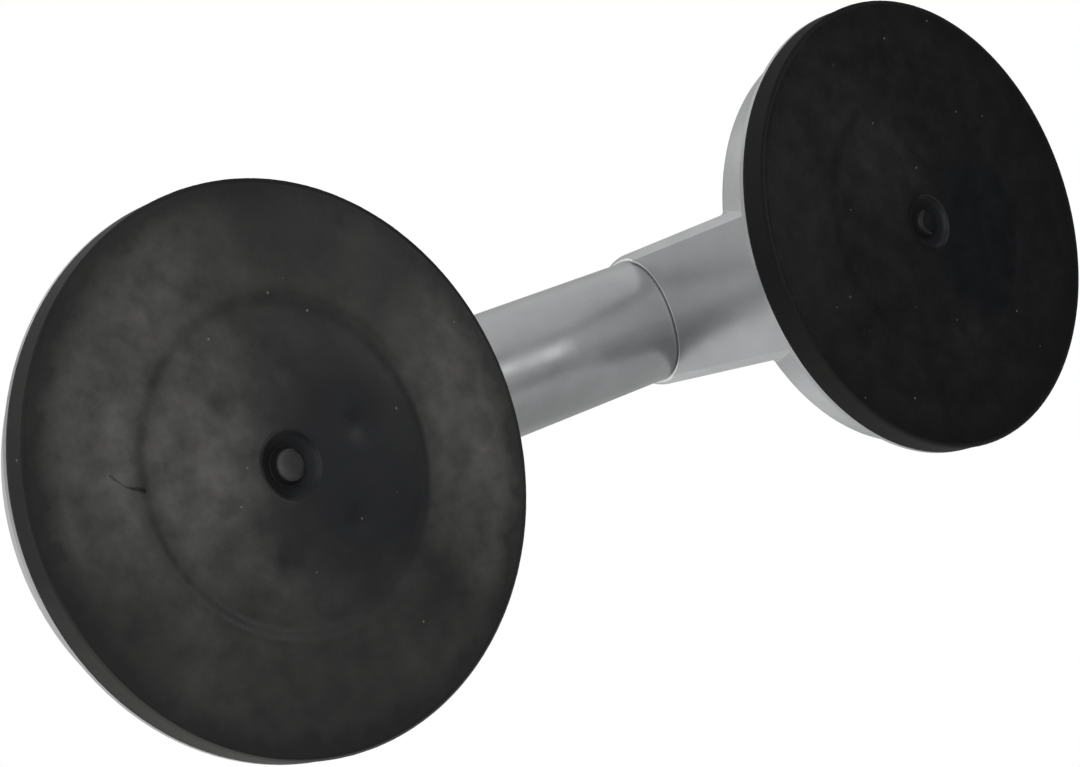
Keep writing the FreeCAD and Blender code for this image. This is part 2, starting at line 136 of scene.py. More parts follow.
# Lamps: name, place, size and watts. Cards: name, place, target, size and shade
GRIP = (0.0, 0.0, 0.04)
LAMPS = (
    ("under_lamp", (-1.0, -0.5, -1.3), (2.0, 2.0), 13.0),
    ("top_lamp", (-0.6, -0.9, 1.5), (2.0, 2.0), 12.0),
    ("strip_lamp", (0.77, -0.12, -0.91), (0.11, 0.30), 0.55),
)
CARDS = (
    ("neck_card", (-0.70, -0.62, 1.30), GRIP, (1.1, 1.1), 0.60),
    ("bright_card", (0.30, -0.98, 1.35), GRIP, (0.8, 0.8), 1.05),
    ("foot_card", (0.28, 0.50, 0.75), GRIP, (0.45, 0.45), 1.05),
    ("right_card", (1.2, 0.0, -0.60), (0.0, 0.0, -0.60), (1.8, 1.80), 0.05),
    ("low_card", (0.0, 1.3, -0.2), (0.0, 0.0, -0.2), (2.6, 2.2), 0.42),
    ("high_card", (0.6, -1.4, 0.1), GRIP, (3.0, 2.4), 0.86),
    ("back_card", (1.00, 0.12, 1.15), GRIP, (2.2, 2.2), 0.50),
)
CAMERA_PLACE = (-0.37130, -0.01617, -0.39910)
CAMERA_TARGET = (0.27004, 0.02025, 0.36729)
CAMERA_UP = (0.27682, -0.94258, -0.18686)
FLOOR_REACH = 6.0
FLOOR_DROP = 0.0002


# Sizes and colours that a user may change


def length(name, description, default):
    """A length property in metres."""
    return bpy.props.FloatProperty(name=name, description=description, default=default, unit="LENGTH",
                                   precision=5)


def colour(name, description, default):
    """A colour property."""
    return bpy.props.FloatVectorProperty(name=name, description=description, default=default, size=3,
                                         min=0.0, max=1.0, subtype="COLOR")


def factor(name, description, default):
    """A property between 0 and 1."""
    return bpy.props.FloatProperty(name=name, description=description, default=default, min=0.0, max=1.0,
                                   subtype="FACTOR")


class LifterPadSettings(bpy.types.PropertyGroup):
    """Sizes of the moulded rubber pads."""

    nub_radius: length("Nub radius", "Radius of the nub in the middle of the pad", 0.0036)
    nub_height: length("Nub height", "Height of the nub's face over the contact plane", 0.0001)
    moat_radius: length("Moat radius", "Outer radius of the moat round the nub", 0.0067)
    moat_depth: length("Moat depth", "Height of the moat's floor over the contact plane", 0.0024)
    step_radius: length("Step radius", "Radius of the step over the backing plate's edge", 0.0347)
    step_width: length("Step width", "Width of the step", 0.0040)
    step_height: length("Step height", "How far the face steps back inside the step", 0.0006)
    crown: length("Crown", "How much the face inside the step swells out again", 0.0003)
    bevel_width: length("Bevel width", "Width of the soft bevel at the edge of the face", 0.0005)
    bevel_height: length("Bevel height", "Height of the soft bevel at the edge of the face", 0.00012)
    sink_radius: length("Sink mark radius", "Radius of each sink mark", 0.0046)
    sink_depth: length("Sink mark depth", "Depth of each sink mark", 0.00028)
    sink_circle: length("Sink mark circle", "Radius of the circle of sink marks", 0.0200)
    flash: length("Moulding flash", "Height of the irregular ridge round the rim", 0.00008)


class LifterFinishSettings(bpy.types.PropertyGroup):
    """Colours and gloss of the finishes."""

    paint: colour("Silver paint", "Metallic paint of the castings and the grip", (0.400, 0.405, 0.410))
    paint_shade: colour("Silver paint, shaded", "Duller patches of the paint", (0.350, 0.355, 0.360))
    rubber: colour("Rubber", "Clean rubber", (0.0060, 0.0060, 0.0060))
    # The bloom's colour is also what the painted sheen and painted light on the pads are made of
    bloom: colour("Rubber bloom", "Dusty bloom on the rubber", (0.100, 0.0985, 0.094))
    lever: colour("Lever", "Black moulded lever", (0.022, 0.022, 0.024))
    steel: colour("Zinc-plated steel", "Stud, pins and bolts", (0.56, 0.57, 0.58))
    nylon: colour("Nylon", "Natural nylon of the cam plates", (0.63, 0.60, 0.52))
    paint_roughness: factor("Paint roughness", "Roughness of the silver paint", 0.33)
    rubber_roughness: factor("Rubber roughness", "Roughness of the rubber", 0.25)


class LifterStudioSettings(bpy.types.PropertyGroup):
    """Camera and lamps."""

    lens: bpy.props.FloatProperty(name="Lens", description="Focal length", default=78.22, unit="CAMERA")
    ambient: factor("Ambient", "Strength of the world's light on the object", 0.50)
    floor: colour("Floor", "Plain pale floor", (0.80, 0.80, 0.80))


# Geometry of the object, from the frame


def cup_centre(side):
    """The point on a cup's axis at the height of the surface under the pads."""
    low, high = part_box(side + "_backing_plate")
    return Vector(((low.x + high.x) / 2, (low.y + high.y) / 2, 0.0))


def plate_radius():
    """Radius of the steel plate inside the pad."""
    low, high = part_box("right_backing_plate")
    return (high.x - low.x) / 2


# Node helpers


class Tree:
    """A short way to build a material's nodes."""

    def __init__(self, name):
        self.material = bpy.data.materials.new(name)
        self.material.use_nodes = True
        self.nodes = self.material.node_tree.nodes
        self.links = self.material.node_tree.links
        self.shader = self.nodes["Principled BSDF"]
        self.place = self.nodes.new("ShaderNodeTexCoord").outputs["Object"]

    def add(self, kind, values=(), **settings):
        """A node with its settings, and its inputs given as name and value or socket pairs."""
        node = self.nodes.new("ShaderNode" + kind)
        for key, value in settings.items():
            setattr(node, key, value)
        for key, value in dict(values).items():
            self.feed(node.inputs[key], value)
        return node

    def feed(self, socket, value):
        """Link a socket, or set a plain value."""
        if isinstance(value, bpy.types.NodeSocket):
            self.links.new(value, socket)
        else:
            socket.default_value = value

    def noise(self, scale, detail=2.0, rough=0.5):
        """Noise with features 1 / scale metres wide."""
        values = {"Vector": self.place, "Scale": scale, "Detail": detail, "Roughness": rough}
        return self.add("TexNoise", values).outputs["Fac"]

    def cells(self, scale, output):
        """Cells 1 / scale metres wide."""
        return self.add("TexVoronoi", {"Vector": self.place, "Scale": scale}).outputs[output]

    def ramp(self, value, low, high, to_low=0.0, to_high=1.0):
        """A value's range, stretched and clamped."""
        values = {"Value": value, "From Min": low, "From Max": high, "To Min": to_low, "To Max": to_high}
        return self.add("MapRange", values).outputs["Result"]

    def math(self, operation, first, second=0.0):
        """One arithmetic step."""
        node = self.add("Math", {0: first, 1: second}, operation=operation)
        return node.outputs["Value"]

    def times(self, first, second):
        """A product of two values."""
        return self.math("MULTIPLY", first, second)

    def vector(self, operation, first, second):
        """The vector of one vector operation."""
        node = self.add("VectorMath", {0: first, 1: second}, operation=operation)
        return node.outputs["Vector"]

    def measure(self, operation, first, second=(0.0, 0.0, 0.0)):
        """The length, distance or product that one vector operation gives."""
        node = self.add("VectorMath", {0: first, 1: second}, operation=operation)
        return node.outputs["Value"]

    def axis(self, vector, name):
        """One coordinate of a vector."""
        return self.add("SeparateXYZ", {"Vector": vector}).outputs[name]

    def channel(self, shade, name):
        """One channel of a colour."""
        return self.add("SeparateColor", {"Color": shade}).outputs[name]

    def mix(self, amount, first, second):
        """Two colours mixed."""
        node = self.add("Mix", data_type="RGBA")
        for socket, value in zip((node.inputs[0], node.inputs[6], node.inputs[7]), (amount, first, second)):
            self.feed(socket, value)
        return node.outputs[2]

    def bump(self, height, distance, under=None):
        """A bump over an optional first one."""
        values = {"Height": height, "Distance": distance}
        if under is not None:
            values["Normal"] = under
        return self.add("Bump", values).outputs["Normal"]

    def set(self, **values):
        """Set or link the shader's inputs, named with underscores for spaces."""
        for key, value in values.items():
            self.feed(self.shader.inputs[key.replace("_", " ")], value)
        return self.material


def rgba(values, gain=1.0):
    """A colour property with full alpha, lighter or darker by a gain."""
    return tuple(min(1.0, value * gain) for value in values[:3]) + (1.0,)


# Metal, nylon and paint


def socket_highlight(tree):
    """Share of painted highlight: most on the thin edge of the casting round the grip tube, and 0
    elsewhere.
    """
    low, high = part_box("grip_tube")
    tube_radius = (high.y - low.y) / 2
    from_axis = tree.vector("SUBTRACT", tree.place, (0.0, 0.0, (high.z + low.z) / 2))
    reach = tree.measure("LENGTH", tree.vector("MULTIPLY", from_axis, (0.0, 1.0, 1.0)))
    off_edge = tree.math("ABSOLUTE", tree.math("SUBTRACT", reach, tube_radius + SOCKET_EDGE_GAP))
    along = tree.math("ABSOLUTE", tree.axis(tree.place, "X"))
    at_face = tree.ramp(along, SOCKET_EDGE_REACH, SOCKET_EDGE_REACH + 0.0005, 1.0, 0.0)
    return tree.times(tree.ramp(off_edge, SOCKET_EDGE_HALF_WIDTH, SOCKET_EDGE_FADE, 0.8, 0.0), at_face)


def silver_paint(finish):
    """Semi-gloss metallic paint: fine flakes, orange peel, waviness and a painted highlight on the edges at
    the sockets.
    """
    tree = Tree("silver_paint")
    patches = tree.ramp(tree.noise(38.0, 4.0, 0.6), 0.40, 0.62)
    flake = tree.channel(tree.cells(5200.0, "Color"), "Red")
    base = tree.mix(patches, rgba(finish.paint_shade), rgba(finish.paint))
    base = tree.mix(tree.ramp(flake, 0.5, 1.0, 0.0, 0.4), base, rgba(finish.paint, 1.12))
    # Painted highlight: the thin edge round the grip tube is made light
    base = tree.mix(socket_highlight(tree), base, SOCKET_HIGHLIGHT_COLOUR)
    gloss = finish.paint_roughness
    rough = tree.ramp(tree.noise(110.0, 3.0), 0.3, 0.7, gloss - 0.04, gloss + 0.05)
    waves = tree.bump(tree.noise(24.0, 1.0), 0.00018)
    peel = tree.bump(tree.noise(480.0, 1.0), 0.000010, waves)
    return tree.set(Base_Color=base, Metallic=0.85, Roughness=rough, Normal=peel)


def lever_nylon(finish):
    """Black moulded nylon with a fine spark-eroded grain."""
    tree = Tree("lever_nylon")
    scuffs = tree.ramp(tree.noise(90.0, 5.0, 0.65), 0.55, 0.72, 0.0, 0.5)
    base = tree.mix(scuffs, rgba(finish.lever), rgba(finish.lever, 2.2))
    rough = tree.ramp(tree.noise(240.0, 3.0), 0.3, 0.7, 0.42, 0.56)
    grain = tree.bump(tree.noise(1500.0, 2.0), 0.00005)
    return tree.set(Base_Color=base, Roughness=rough, Normal=grain)


def zinc_steel(finish):
    """Zinc-plated steel with a faint spangle and fine turning marks."""
    tree = Tree("zinc_steel")
    spangle = tree.ramp(tree.channel(tree.cells(900.0, "Color"), "Green"), 0.0, 1.0, 0.0, 0.8)
    base = tree.mix(spangle, rgba(finish.steel), rgba(finish.steel, 0.72))
    rough = tree.ramp(tree.noise(500.0, 3.0), 0.3, 0.7, 0.28, 0.44)
    marks = tree.bump(tree.noise(2600.0, 2.0), 0.00001)
    return tree.set(Base_Color=base, Metallic=1.0, Roughness=rough, Normal=marks)


def cam_nylon(finish):
    """Natural nylon, polished in patches where the cam rubs."""
    tree = Tree("cam_nylon")
    stain = tree.ramp(tree.noise(180.0, 4.0), 0.45, 0.7, 0.0, 0.6)
    base = tree.mix(stain, rgba(finish.nylon), rgba(finish.nylon, 0.8))
    rough = tree.ramp(tree.noise(300.0, 2.0), 0.3, 0.7, 0.34, 0.5)
    polish = tree.bump(tree.noise(1200.0), 0.00001)
    return tree.set(Base_Color=base, Roughness=rough, Normal=polish, Subsurface_Weight=0.08,
                    Subsurface_Radius=(0.002, 0.0015, 0.001))


def plain_metal(name, shade, low, high):
    """Turned or oiled metal in one shade, with gloss that varies between two values of roughness."""
    tree = Tree(name)
    tint = tree.ramp(tree.noise(700.0, 3.0), 0.3, 0.7)
    base = tree.mix(tint, (shade, shade, shade, 1.0), (shade * 0.7, shade * 0.7, shade * 0.72, 1.0))
    rough = tree.ramp(tree.noise(900.0, 2.0), 0.3, 0.7, low, high)
    return tree.set(Base_Color=base, Metallic=1.0, Roughness=rough)


# The pads' rubber


def wandering_place(tree, local):
    """A place on the pad, drifting a little so that no patch has a clean edge."""
    values = {"Vector": tree.place, "Scale": 45.0, "Detail": 4.0}
    drift = tree.vector("SUBTRACT", tree.add("TexNoise", values).outputs["Color"], (0.5, 0.5, 0.5))
    return tree.vector("ADD", local, tree.vector("MULTIPLY", drift, (0.022, 0.022, 0.0)))


def dust_and_sheen_patches(tree, wear_and_light, place):
    """The pad's dust and painted sheen, with their lighter and darker patches."""
    # Partly painted sheen: the pad's dust level and its lighter and darker patches also stand in for the
    # rubber's shine
    amount = wear_and_light.dust_and_sheen
    for x, y, reach, extra in wear_and_light.patches:
        away = tree.measure("DISTANCE", place, (x, y, 0.0))
        amount = tree.math("ADD", amount, tree.ramp(away, reach * 0.25, reach, extra, 0.0))
    return amount


def dark_reflection_share(tree, wear_and_light, place, radius):
    """1 on the painted dark reflection over part of the face inside the step, and 0 elsewhere."""
    x, y, reach = wear_and_light.dark_reflection
    away = tree.measure("DISTANCE", place, (x, y, 0.0))
    near = tree.ramp(away, reach * 0.45, reach * 1.05, 1.0, 0.0)
    inside = tree.ramp(radius, STEP_SHADE_RADIUS - 0.0007, STEP_SHADE_RADIUS + 0.0004, 1.0, 0.0)
    return tree.times(near, inside)


def rim_dust_and_wall_light(tree, wear_and_light, amount, local, radius, mottle):
    """Dust that thins out raggedly at the rim, and painted light on one side of the wall, given as more
    dust there.
    """
    ragged = tree.math("ADD", radius, tree.ramp(mottle, 0.2, 0.8, -0.0045, 0.0045))
    amount = tree.times(amount, tree.ramp(ragged, RIM_SHADE_RADIUS, RIM_SHADE_RADIUS + 0.0045, 1.0, 0.22))
    # Painted light: the wall gets more dust towards +Y, so that side is lighter, as if lit from below
    low_side = tree.ramp(tree.axis(local, "Y"), 0.0, 0.050, 0.0, 0.9)
    on_wall = tree.ramp(radius, WALL_SHADE_RADIUS + 0.0005, WALL_SHADE_RADIUS + 0.0009)
    return tree.math("MAXIMUM", amount, tree.times(tree.times(low_side, on_wall), wear_and_light.painted_wall_light))


def sink_and_step_shade(tree, wear_and_light, amount, place, radius):
    """Painted shade in the dips: less dust in the sink marks and along the step, so they are darker."""
    # Painted shade: the sink marks and the step are darker than the face round them
    for mark in range(wear_and_light.dark_sinks):
        bearing = math.radians(wear_and_light.sink_turn + 360 / SINK_COUNT * mark)
        spot = (SINK_SHADE_CIRCLE * math.cos(bearing), SINK_SHADE_CIRCLE * math.sin(bearing), 0.0)
        away = tree.measure("DISTANCE", place, spot)
        amount = tree.times(amount, tree.ramp(away, 0.0010, 0.0045, 0.62, 1.0))
    from_step = tree.math("ABSOLUTE", tree.math("SUBTRACT", radius, STEP_SHADE_RADIUS))
    return tree.times(amount, tree.ramp(from_step, 0.0, 0.0038, 0.70, 1.0))


def moat_shade_and_nub_dust(tree, wear_and_light, amount, local, radius):
    """Painted shade in the moat, darkest on its near side, given as less dust there; and more dust on the
    nub's face.
    """
    out_of_moat = tree.ramp(radius, MOAT_SHADE_RADIUS, MOAT_SHADE_RADIUS + 0.0009)
    # Painted shade: less dust on the moat's -X side, so the moat is darkest where its wall shades it
    painted_moat_shade = tree.ramp(tree.axis(local, "X"), -0.0035, 0.0050, 0.15, 0.80)
    on_nub = tree.ramp(radius, NUB_SHADE_RADIUS - 0.0003, NUB_SHADE_RADIUS, wear_and_light.nub_dust, 0.25)
    on_nub = tree.times(on_nub, tree.ramp(radius, NUB_SIDE_RADIUS, NUB_SIDE_RADIUS + 0.0002, 1.0, 0.0))
    return tree.times(amount, tree.math("MAXIMUM", tree.math("MAXIMUM", out_of_moat, painted_moat_shade), on_nub))


def dust_specks(tree):
    """1 on scattered bright specks, and 0 elsewhere."""
    dots = tree.ramp(tree.cells(230.0, "Distance"), 0.04, 0.08, 1.0, 0.0)
    chosen = tree.ramp(tree.noise(150.0, 0.0), 0.62, 0.64)
    return tree.times(dots, chosen)


def rubber_gloss(tree, finish, wear_and_light, radius, mottle, amount):
    """Roughness of the rubber: uneven on the face, duller on the wall, in dust and in the moat."""
    gloss = finish.rubber_roughness
    on_wall = tree.ramp(radius, WALL_SHADE_RADIUS, WALL_SHADE_RADIUS + 0.0005, 0.0, wear_and_light.wall_roughness)
    inside_moat = tree.ramp(radius, MOAT_SHADE_RADIUS - 0.0001, MOAT_SHADE_RADIUS + 0.0007, 1.0, 0.0)
    off_nub = tree.ramp(radius, NUB_SHADE_RADIUS - 0.0002, NUB_SHADE_RADIUS + 0.0001)
    hollow = tree.times(inside_moat, off_nub)
    rough = tree.math("ADD", tree.ramp(mottle, 0.3, 0.7, gloss - 0.04, gloss + 0.06), on_wall)
    rough = tree.math("ADD", rough, tree.ramp(amount, 0.1, 0.7, 0.0, 0.15))
    return tree.math("ADD", rough, tree.ramp(hollow, 0.0, 1.0, 0.0, wear_and_light.moat_roughness))


def line_distance(tree, local, start, end):
    """Distance from a straight line between two points of the pad."""
    line = (end[0] - start[0], end[1] - start[1], 0.0)
    span = line[0] ** 2 + line[1] ** 2
    offset = tree.vector("SUBTRACT", local, (start[0], start[1], 0.0))
    share = tree.ramp(tree.measure("DOT_PRODUCT", offset, line), 0.0, span)
    along = tree.add("VectorMath", {0: line, "Scale": share}, operation="SCALE")
    return tree.measure("DISTANCE", offset, along.outputs["Vector"])


def scratch_share(tree, wear_and_light, local, mottle):
    """1 along the pad's bent scratch, and 0 elsewhere."""
    reaches = [line_distance(tree, local, start, end) for start, end in zip(wear_and_light.scratch, wear_and_light.scratch[1:])]
    ragged = tree.math("ADD", tree.math("MINIMUM", *reaches), tree.ramp(mottle, 0.3, 0.7, -0.0002, 0.0003))
    return tree.ramp(ragged, 0.0001, 0.0005, 0.75, 0.0)


def pad_rubber(finish, side, centre):
    """Satin rubber: a mottled bloom with painted sheen that thins at the rim, painted shade over the step,
    sink marks and moat, painted light on the wall and a painted dark reflection; grain, specks and scuffs.
    """
    tree = Tree(side + "_pad_rubber")
    wear_and_light = WEAR_AND_PAINTED_LIGHT[side]
    local = tree.vector("MULTIPLY", tree.vector("SUBTRACT", tree.place, tuple(centre)), (1.0, 1.0, 0.0))
    radius = tree.measure("LENGTH", local)
    cloud = tree.noise(30.0, 6.0, 0.64)
    mottle = tree.noise(140.0, 5.0, 0.62)
    place = wandering_place(tree, local)
    # Painted dark reflection: part of the face inside the step gets less dust and a cooler tint, so it is
    # darker
    dark_reflection = dark_reflection_share(tree, wear_and_light, place, radius)
    amount = tree.times(dust_and_sheen_patches(tree, wear_and_light, place), tree.ramp(dark_reflection, 0.0, 1.0, 1.0, 0.12))
    amount = tree.times(amount, tree.ramp(cloud, 0.34, 0.68, 0.55, 1.35))
    amount = tree.times(amount, tree.ramp(mottle, 0.30, 0.70, 0.58, 1.38))
    amount = rim_dust_and_wall_light(tree, wear_and_light, amount, local, radius, mottle)
    amount = sink_and_step_shade(tree, wear_and_light, amount, place, radius)
    amount = moat_shade_and_nub_dust(tree, wear_and_light, amount, local, radius)
    # The cooler tint of the painted dark reflection
    cooler = rgba([shade * tint for shade, tint in zip(finish.rubber, DARK_REFLECTION_TINT)])
    base = tree.mix(amount, tree.mix(dark_reflection, rgba(finish.rubber), cooler), rgba(finish.bloom))
    base = tree.mix(dust_specks(tree), base, SPECK_COLOUR)
    rough = rubber_gloss(tree, finish, wear_and_light, radius, mottle, amount)
    waves = tree.bump(tree.noise(60.0, 3.0), 0.00012)
    grain = tree.bump(tree.noise(1700.0, 3.0, 0.6), 0.000016, waves)
    if wear_and_light.scratch:
        scratch = scratch_share(tree, wear_and_light, local, mottle)
        base = tree.mix(scratch, base, SCRATCH_COLOUR)
        grain = tree.bump(tree.ramp(scratch, 0.0, 1.0, 1.0, 0.0), 0.0001, grain)
    return tree.set(Base_Color=base, Roughness=rough, Normal=grain, Specular_IOR_Level=0.15)


def dress(nodes, material):
    """Give CAD nodes a material."""
    for name in nodes:
        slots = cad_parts[name].data.materials
        slots.clear()
        slots.append(material)


def both(*names):
    """A node's name at each end of the lifter."""
    return [side + "_" + name for name in names for side in SIDES]


# The rubber pads


def smooth(share):
    """An even ease from 0 to 1."""
    share = min(1.0, max(0.0, share))
    return share * share * (3 - 2 * share)


def shares(count):
    """Even steps up to 1."""
    return [step / count for step in range(1, count + 1)]


def hub_profile(pad, hub_face):
    """The nub's slightly crowned face, and the moat: steep at the nub, and sloping up to the hub's face."""
    moat_start, moat_end = pad.nub_radius * MOAT_START_SHARE, pad.moat_radius * MOAT_END_SHARE
    drop = pad.moat_depth - pad.nub_height
    points = [(pad.nub_radius * share, pad.nub_height - NUB_CROWN * (1 - share ** 2))
              for share in (0.2, 0.45, 0.65, 0.8)]
    for share in shares(30):
        level = pad.nub_height + (hub_face - pad.nub_height) * share
        bowl = max(0.0, min(share / MOAT_STEEP_SHARE, (1 - share) / (1 - MOAT_STEEP_SHARE))) ** 0.8
        points.append((moat_start + (moat_end - moat_start) * share, level + drop * bowl))
    return points


def face_profile(pad, outer, hub_face, step_height):
    """The crowned face inside the step, the step, the flat ring that grips the tile, and its bevel."""
    start = pad.moat_radius * MOAT_END_SHARE
    step_start, step_end = pad.step_radius - pad.step_width / 2, pad.step_radius + pad.step_width / 2
    ring_end = outer - pad.bevel_width
    points = []
    for share in shares(30):
        radius = start + (step_start - start) * share
        points.append((radius, hub_face + (step_height - hub_face) * (radius / step_start) ** 4))
    points += [(step_start + pad.step_width * share, step_height * (1 - smooth(share)))
               for share in shares(12)]
    points += [(step_end + (ring_end - step_end) * share, 0.0) for share in shares(22)]
    points += [(ring_end + (pad.bevel_width - EDGE_ROUND) * share, pad.bevel_height * share ** 1.5)
               for share in shares(8)]
    return points


def wall_profile(pad, outer):
    """The wall of the rim with a round at each edge."""
    edge = EDGE_ROUND
    wall_start, wall_end = pad.bevel_height + edge, PAD_TOP - edge
    turns = [math.pi / 2 * share for share in shares(4)]
    points = [(outer - edge * (1 - math.sin(turn)), pad.bevel_height + edge * (1 - math.cos(turn)))
              for turn in turns]
    points += [(outer, wall_start + (wall_end - wall_start) * share) for share in shares(14)]
    points += [(outer - edge * (1 - math.cos(turn)), wall_end + edge * math.sin(turn)) for turn in turns]
    return points


def pad_profile(pad, outer, relief):
    """Radius and height of the pad's section, from the nub out over the rim and back inside."""
    step_height = pad.step_height * relief
    hub_face = step_height - pad.crown * relief + HUB_SWELL
    pocket = plate_radius() + PLATE_POCKET_GAP
    points = hub_profile(pad, hub_face) + face_profile(pad, outer, hub_face, step_height)
    points += wall_profile(pad, outer)
    return points + [((outer + pocket) / 2, PAD_TOP), (pocket, PAD_TOP), (pocket, PAD_SKIN),
                     (pocket * 0.5, PAD_SKIN), (pad.nub_radius * 0.2, PAD_SKIN)]


def wave(across, along, scale, seed):
    """Smooth noise between about -1 and 1 over two coordinates."""
    return noise.noise(Vector((across * scale, along * scale, seed)))


def flash_setback(pad, height, across, along, seed):
    """How far the wall stays back from its full radius: least on the two lines of moulding flash."""
    ridge = sum(math.exp(-((height - PAD_TOP * line) / FLASH_SPREAD) ** 2) for line in FLASH_LINES)
    slow = wave(across, along, 4, seed)
    nick = wave(across, along, 60, seed + height * 600)
    return pad.flash * min(1.0, max(0.0, 1 - ridge * max(0.0, 0.45 + 0.6 * slow + 0.9 * nick)))


def sink_marks(wear_and_light):
    """Bearing and depth of each sink mark on a pad, no two of them alike."""
    turn = math.radians(wear_and_light.sink_turn)
    return [(turn + mark * 2 * math.pi / SINK_COUNT,
             wear_and_light.relief + 0.3 * wear_and_light.relief * math.sin(mark * 2.4 + wear_and_light.seed))
            for mark in range(SINK_COUNT)]


def face_relief(pad, marks, x, y, seed):
    """Height of the sink marks and of the face's own waviness."""
    height = FACE_WAVE * (1 + wave(x, y, WAVE_SCALE, seed))
    for bearing, depth in marks:
        away = math.hypot(x - pad.sink_circle * math.cos(bearing),
                          y - pad.sink_circle * math.sin(bearing)) / pad.sink_radius
        if away < 2.2:
            height += pad.sink_depth * depth * math.exp(-(away * 1.3) ** 2)
    return height


def pad_faces(ring_count):
    """Quads between neighbouring rings of points."""
    faces = []
    for ring in range(ring_count - 1):
        for spoke in range(SPOKES):
            ahead = (spoke + 1) % SPOKES
            faces.append((ring * SPOKES + spoke, (ring + 1) * SPOKES + spoke,
                          (ring + 1) * SPOKES + ahead, ring * SPOKES + ahead))
    return faces


def pad_mesh(pad, side, centre, outer):
    """A closed disc of rubber with sink marks, waviness and an uneven rim."""
    wear_and_light = WEAR_AND_PAINTED_LIGHT[side]
    rings = pad_profile(pad, outer, wear_and_light.relief)
    marks = sink_marks(wear_and_light)
    vertices = []
    for radius, height in rings:
        on_wall = radius > outer - WALL_BAND
        rim_share = smooth((radius - (outer - RIM_BAND)) / RIM_EASE)
        on_rim = rim_share > 0 and height < pad.bevel_height * 1.5
        on_face = height < pad.moat_depth * 0.6 and radius < outer - pad.bevel_width
        for spoke in range(SPOKES):
            angle = 2 * math.pi * spoke / SPOKES
            across, along = math.cos(angle), math.sin(angle)
            setback = flash_setback(pad, height, across, along, wear_and_light.seed) if on_wall else 0.0
            x, y, z = (radius - setback) * across, (radius - setback) * along, height
            if on_rim:
                z += rim_share * RIM_WAVE * (1 + wave(across, along, WAVE_SCALE, wear_and_light.seed + 5))
            if on_face:
                z += face_relief(pad, marks, x, y, wear_and_light.seed)
            vertices.append((centre.x + x, centre.y + y, centre.z + z))
    faces = pad_faces(len(rings))
    for ring, order in ((0, 1), (len(rings) - 1, -1)):
        hub = len(vertices)
        vertices.append((centre.x, centre.y, rings[ring][1]))
        for spoke in range(SPOKES):
            fan = (hub, ring * SPOKES + spoke, ring * SPOKES + (spoke + 1) % SPOKES)
            faces.append(fan[::order])
    mesh = bpy.data.meshes.new(side + "_rubber_pad")
    mesh.from_pydata(vertices, [], faces)
    mesh.validate()
    mesh.update()
    return mesh


def lift_with_stud(piece):
    """Bake the pad's transform into its mesh and read its points into an array, which nothing uses."""
    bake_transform(piece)
    places = np.empty(len(piece.data.vertices) * 3, np.float32)
    piece.data.vertices.foreach_get("co", places)
    places = places.reshape(-1, 3)


# The studio


def link(piece):
    """Put a new object in the scene."""
    bpy.context.scene.collection.objects.link(piece)
    return piece


def aim(piece, place, target, up):
    """Put a camera, lamp or card at a place, looking at a target."""
    back = (Vector(place) - Vector(target)).normalized()
    side = Vector(up).cross(back).normalized()
    top = back.cross(side)
    turn = Matrix((side, top, back)).transposed()
    piece.matrix_world = Matrix.Translation(Vector(place)) @ turn.to_4x4()


def sheet_mesh(name, half_across, half_high, height, material):
    """A flat rectangle with a material."""
    mesh = bpy.data.meshes.new(name)
    corners = [(-half_across, -half_high, height), (half_across, -half_high, height),
               (half_across, half_high, height), (-half_across, half_high, height)]
    mesh.from_pydata(corners, [], [(0, 1, 2, 3)])
    mesh.materials.append(material)
    return mesh


def empty_tree(data):
    """The nodes and links of a material or world, with nothing in them yet."""
    data.use_nodes = True
    data.node_tree.nodes.clear()
    return data.node_tree.nodes, data.node_tree.links


def soft_lamp(name, place, size, power):
    """A rectangular soft box aimed at the grip."""
    lamp = bpy.data.lights.new(name, "AREA")
    lamp.shape = "RECTANGLE"
    lamp.size, lamp.size_y = size
    lamp.energy = power
    piece = link(bpy.data.objects.new(name, lamp))
    piece.visible_camera = False
    aim(piece, place, GRIP, (0.0, 1.0, 0.1))
    return piece


def card(name, place, target, size, shade):
    """A dark, grey or bright card that only reflections see, as a studio uses to shape metal and gloss."""
    material = bpy.data.materials.new(name)
    nodes, links = empty_tree(material)
    glow = nodes.new("ShaderNodeEmission")
    glow.inputs["Color"].default_value = (shade, shade, shade, 1.0)
    output = nodes.new("ShaderNodeOutputMaterial")
    links.new(glow.outputs["Emission"], output.inputs["Surface"])
    piece = link(bpy.data.objects.new(name, sheet_mesh(name, size[0] / 2, size[1] / 2, 0, material)))
    piece.visible_camera = False
    piece.visible_diffuse = False
    piece.visible_transmission = False
    piece.visible_shadow = False
    aim(piece, place, target, (0.0, 0.0, 1.0))


def studio_world(ambient):
    """White to the eye and in reflections, and a plain ambient light on the object."""
    world = bpy.data.worlds.new("studio_world")
    bpy.context.scene.world = world
    nodes, links = empty_tree(world)
    path = nodes.new("ShaderNodeLightPath")
    seen = path.outputs["Is Camera Ray"]
    for ray in ("Is Transmission Ray", "Is Glossy Ray"):
        either = nodes.new("ShaderNodeMath")
        either.operation = "MAXIMUM"
        links.new(seen, either.inputs[0])
        links.new(path.outputs[ray], either.inputs[1])
        seen = either.outputs[0]
    strength = nodes.new("ShaderNodeMapRange")
    strength.inputs["To Min"].default_value = ambient
    strength.inputs["To Max"].default_value = 1.0
    links.new(seen, strength.inputs["Value"])
    light = nodes.new("ShaderNodeBackground")
    light.inputs["Color"].default_value = (1.0, 1.0, 1.0, 1.0)
    links.new(strength.outputs["Result"], light.inputs["Strength"])
    output = nodes.new("ShaderNodeOutputWorld")
    links.new(light.outputs["Background"], output.inputs["Surface"])


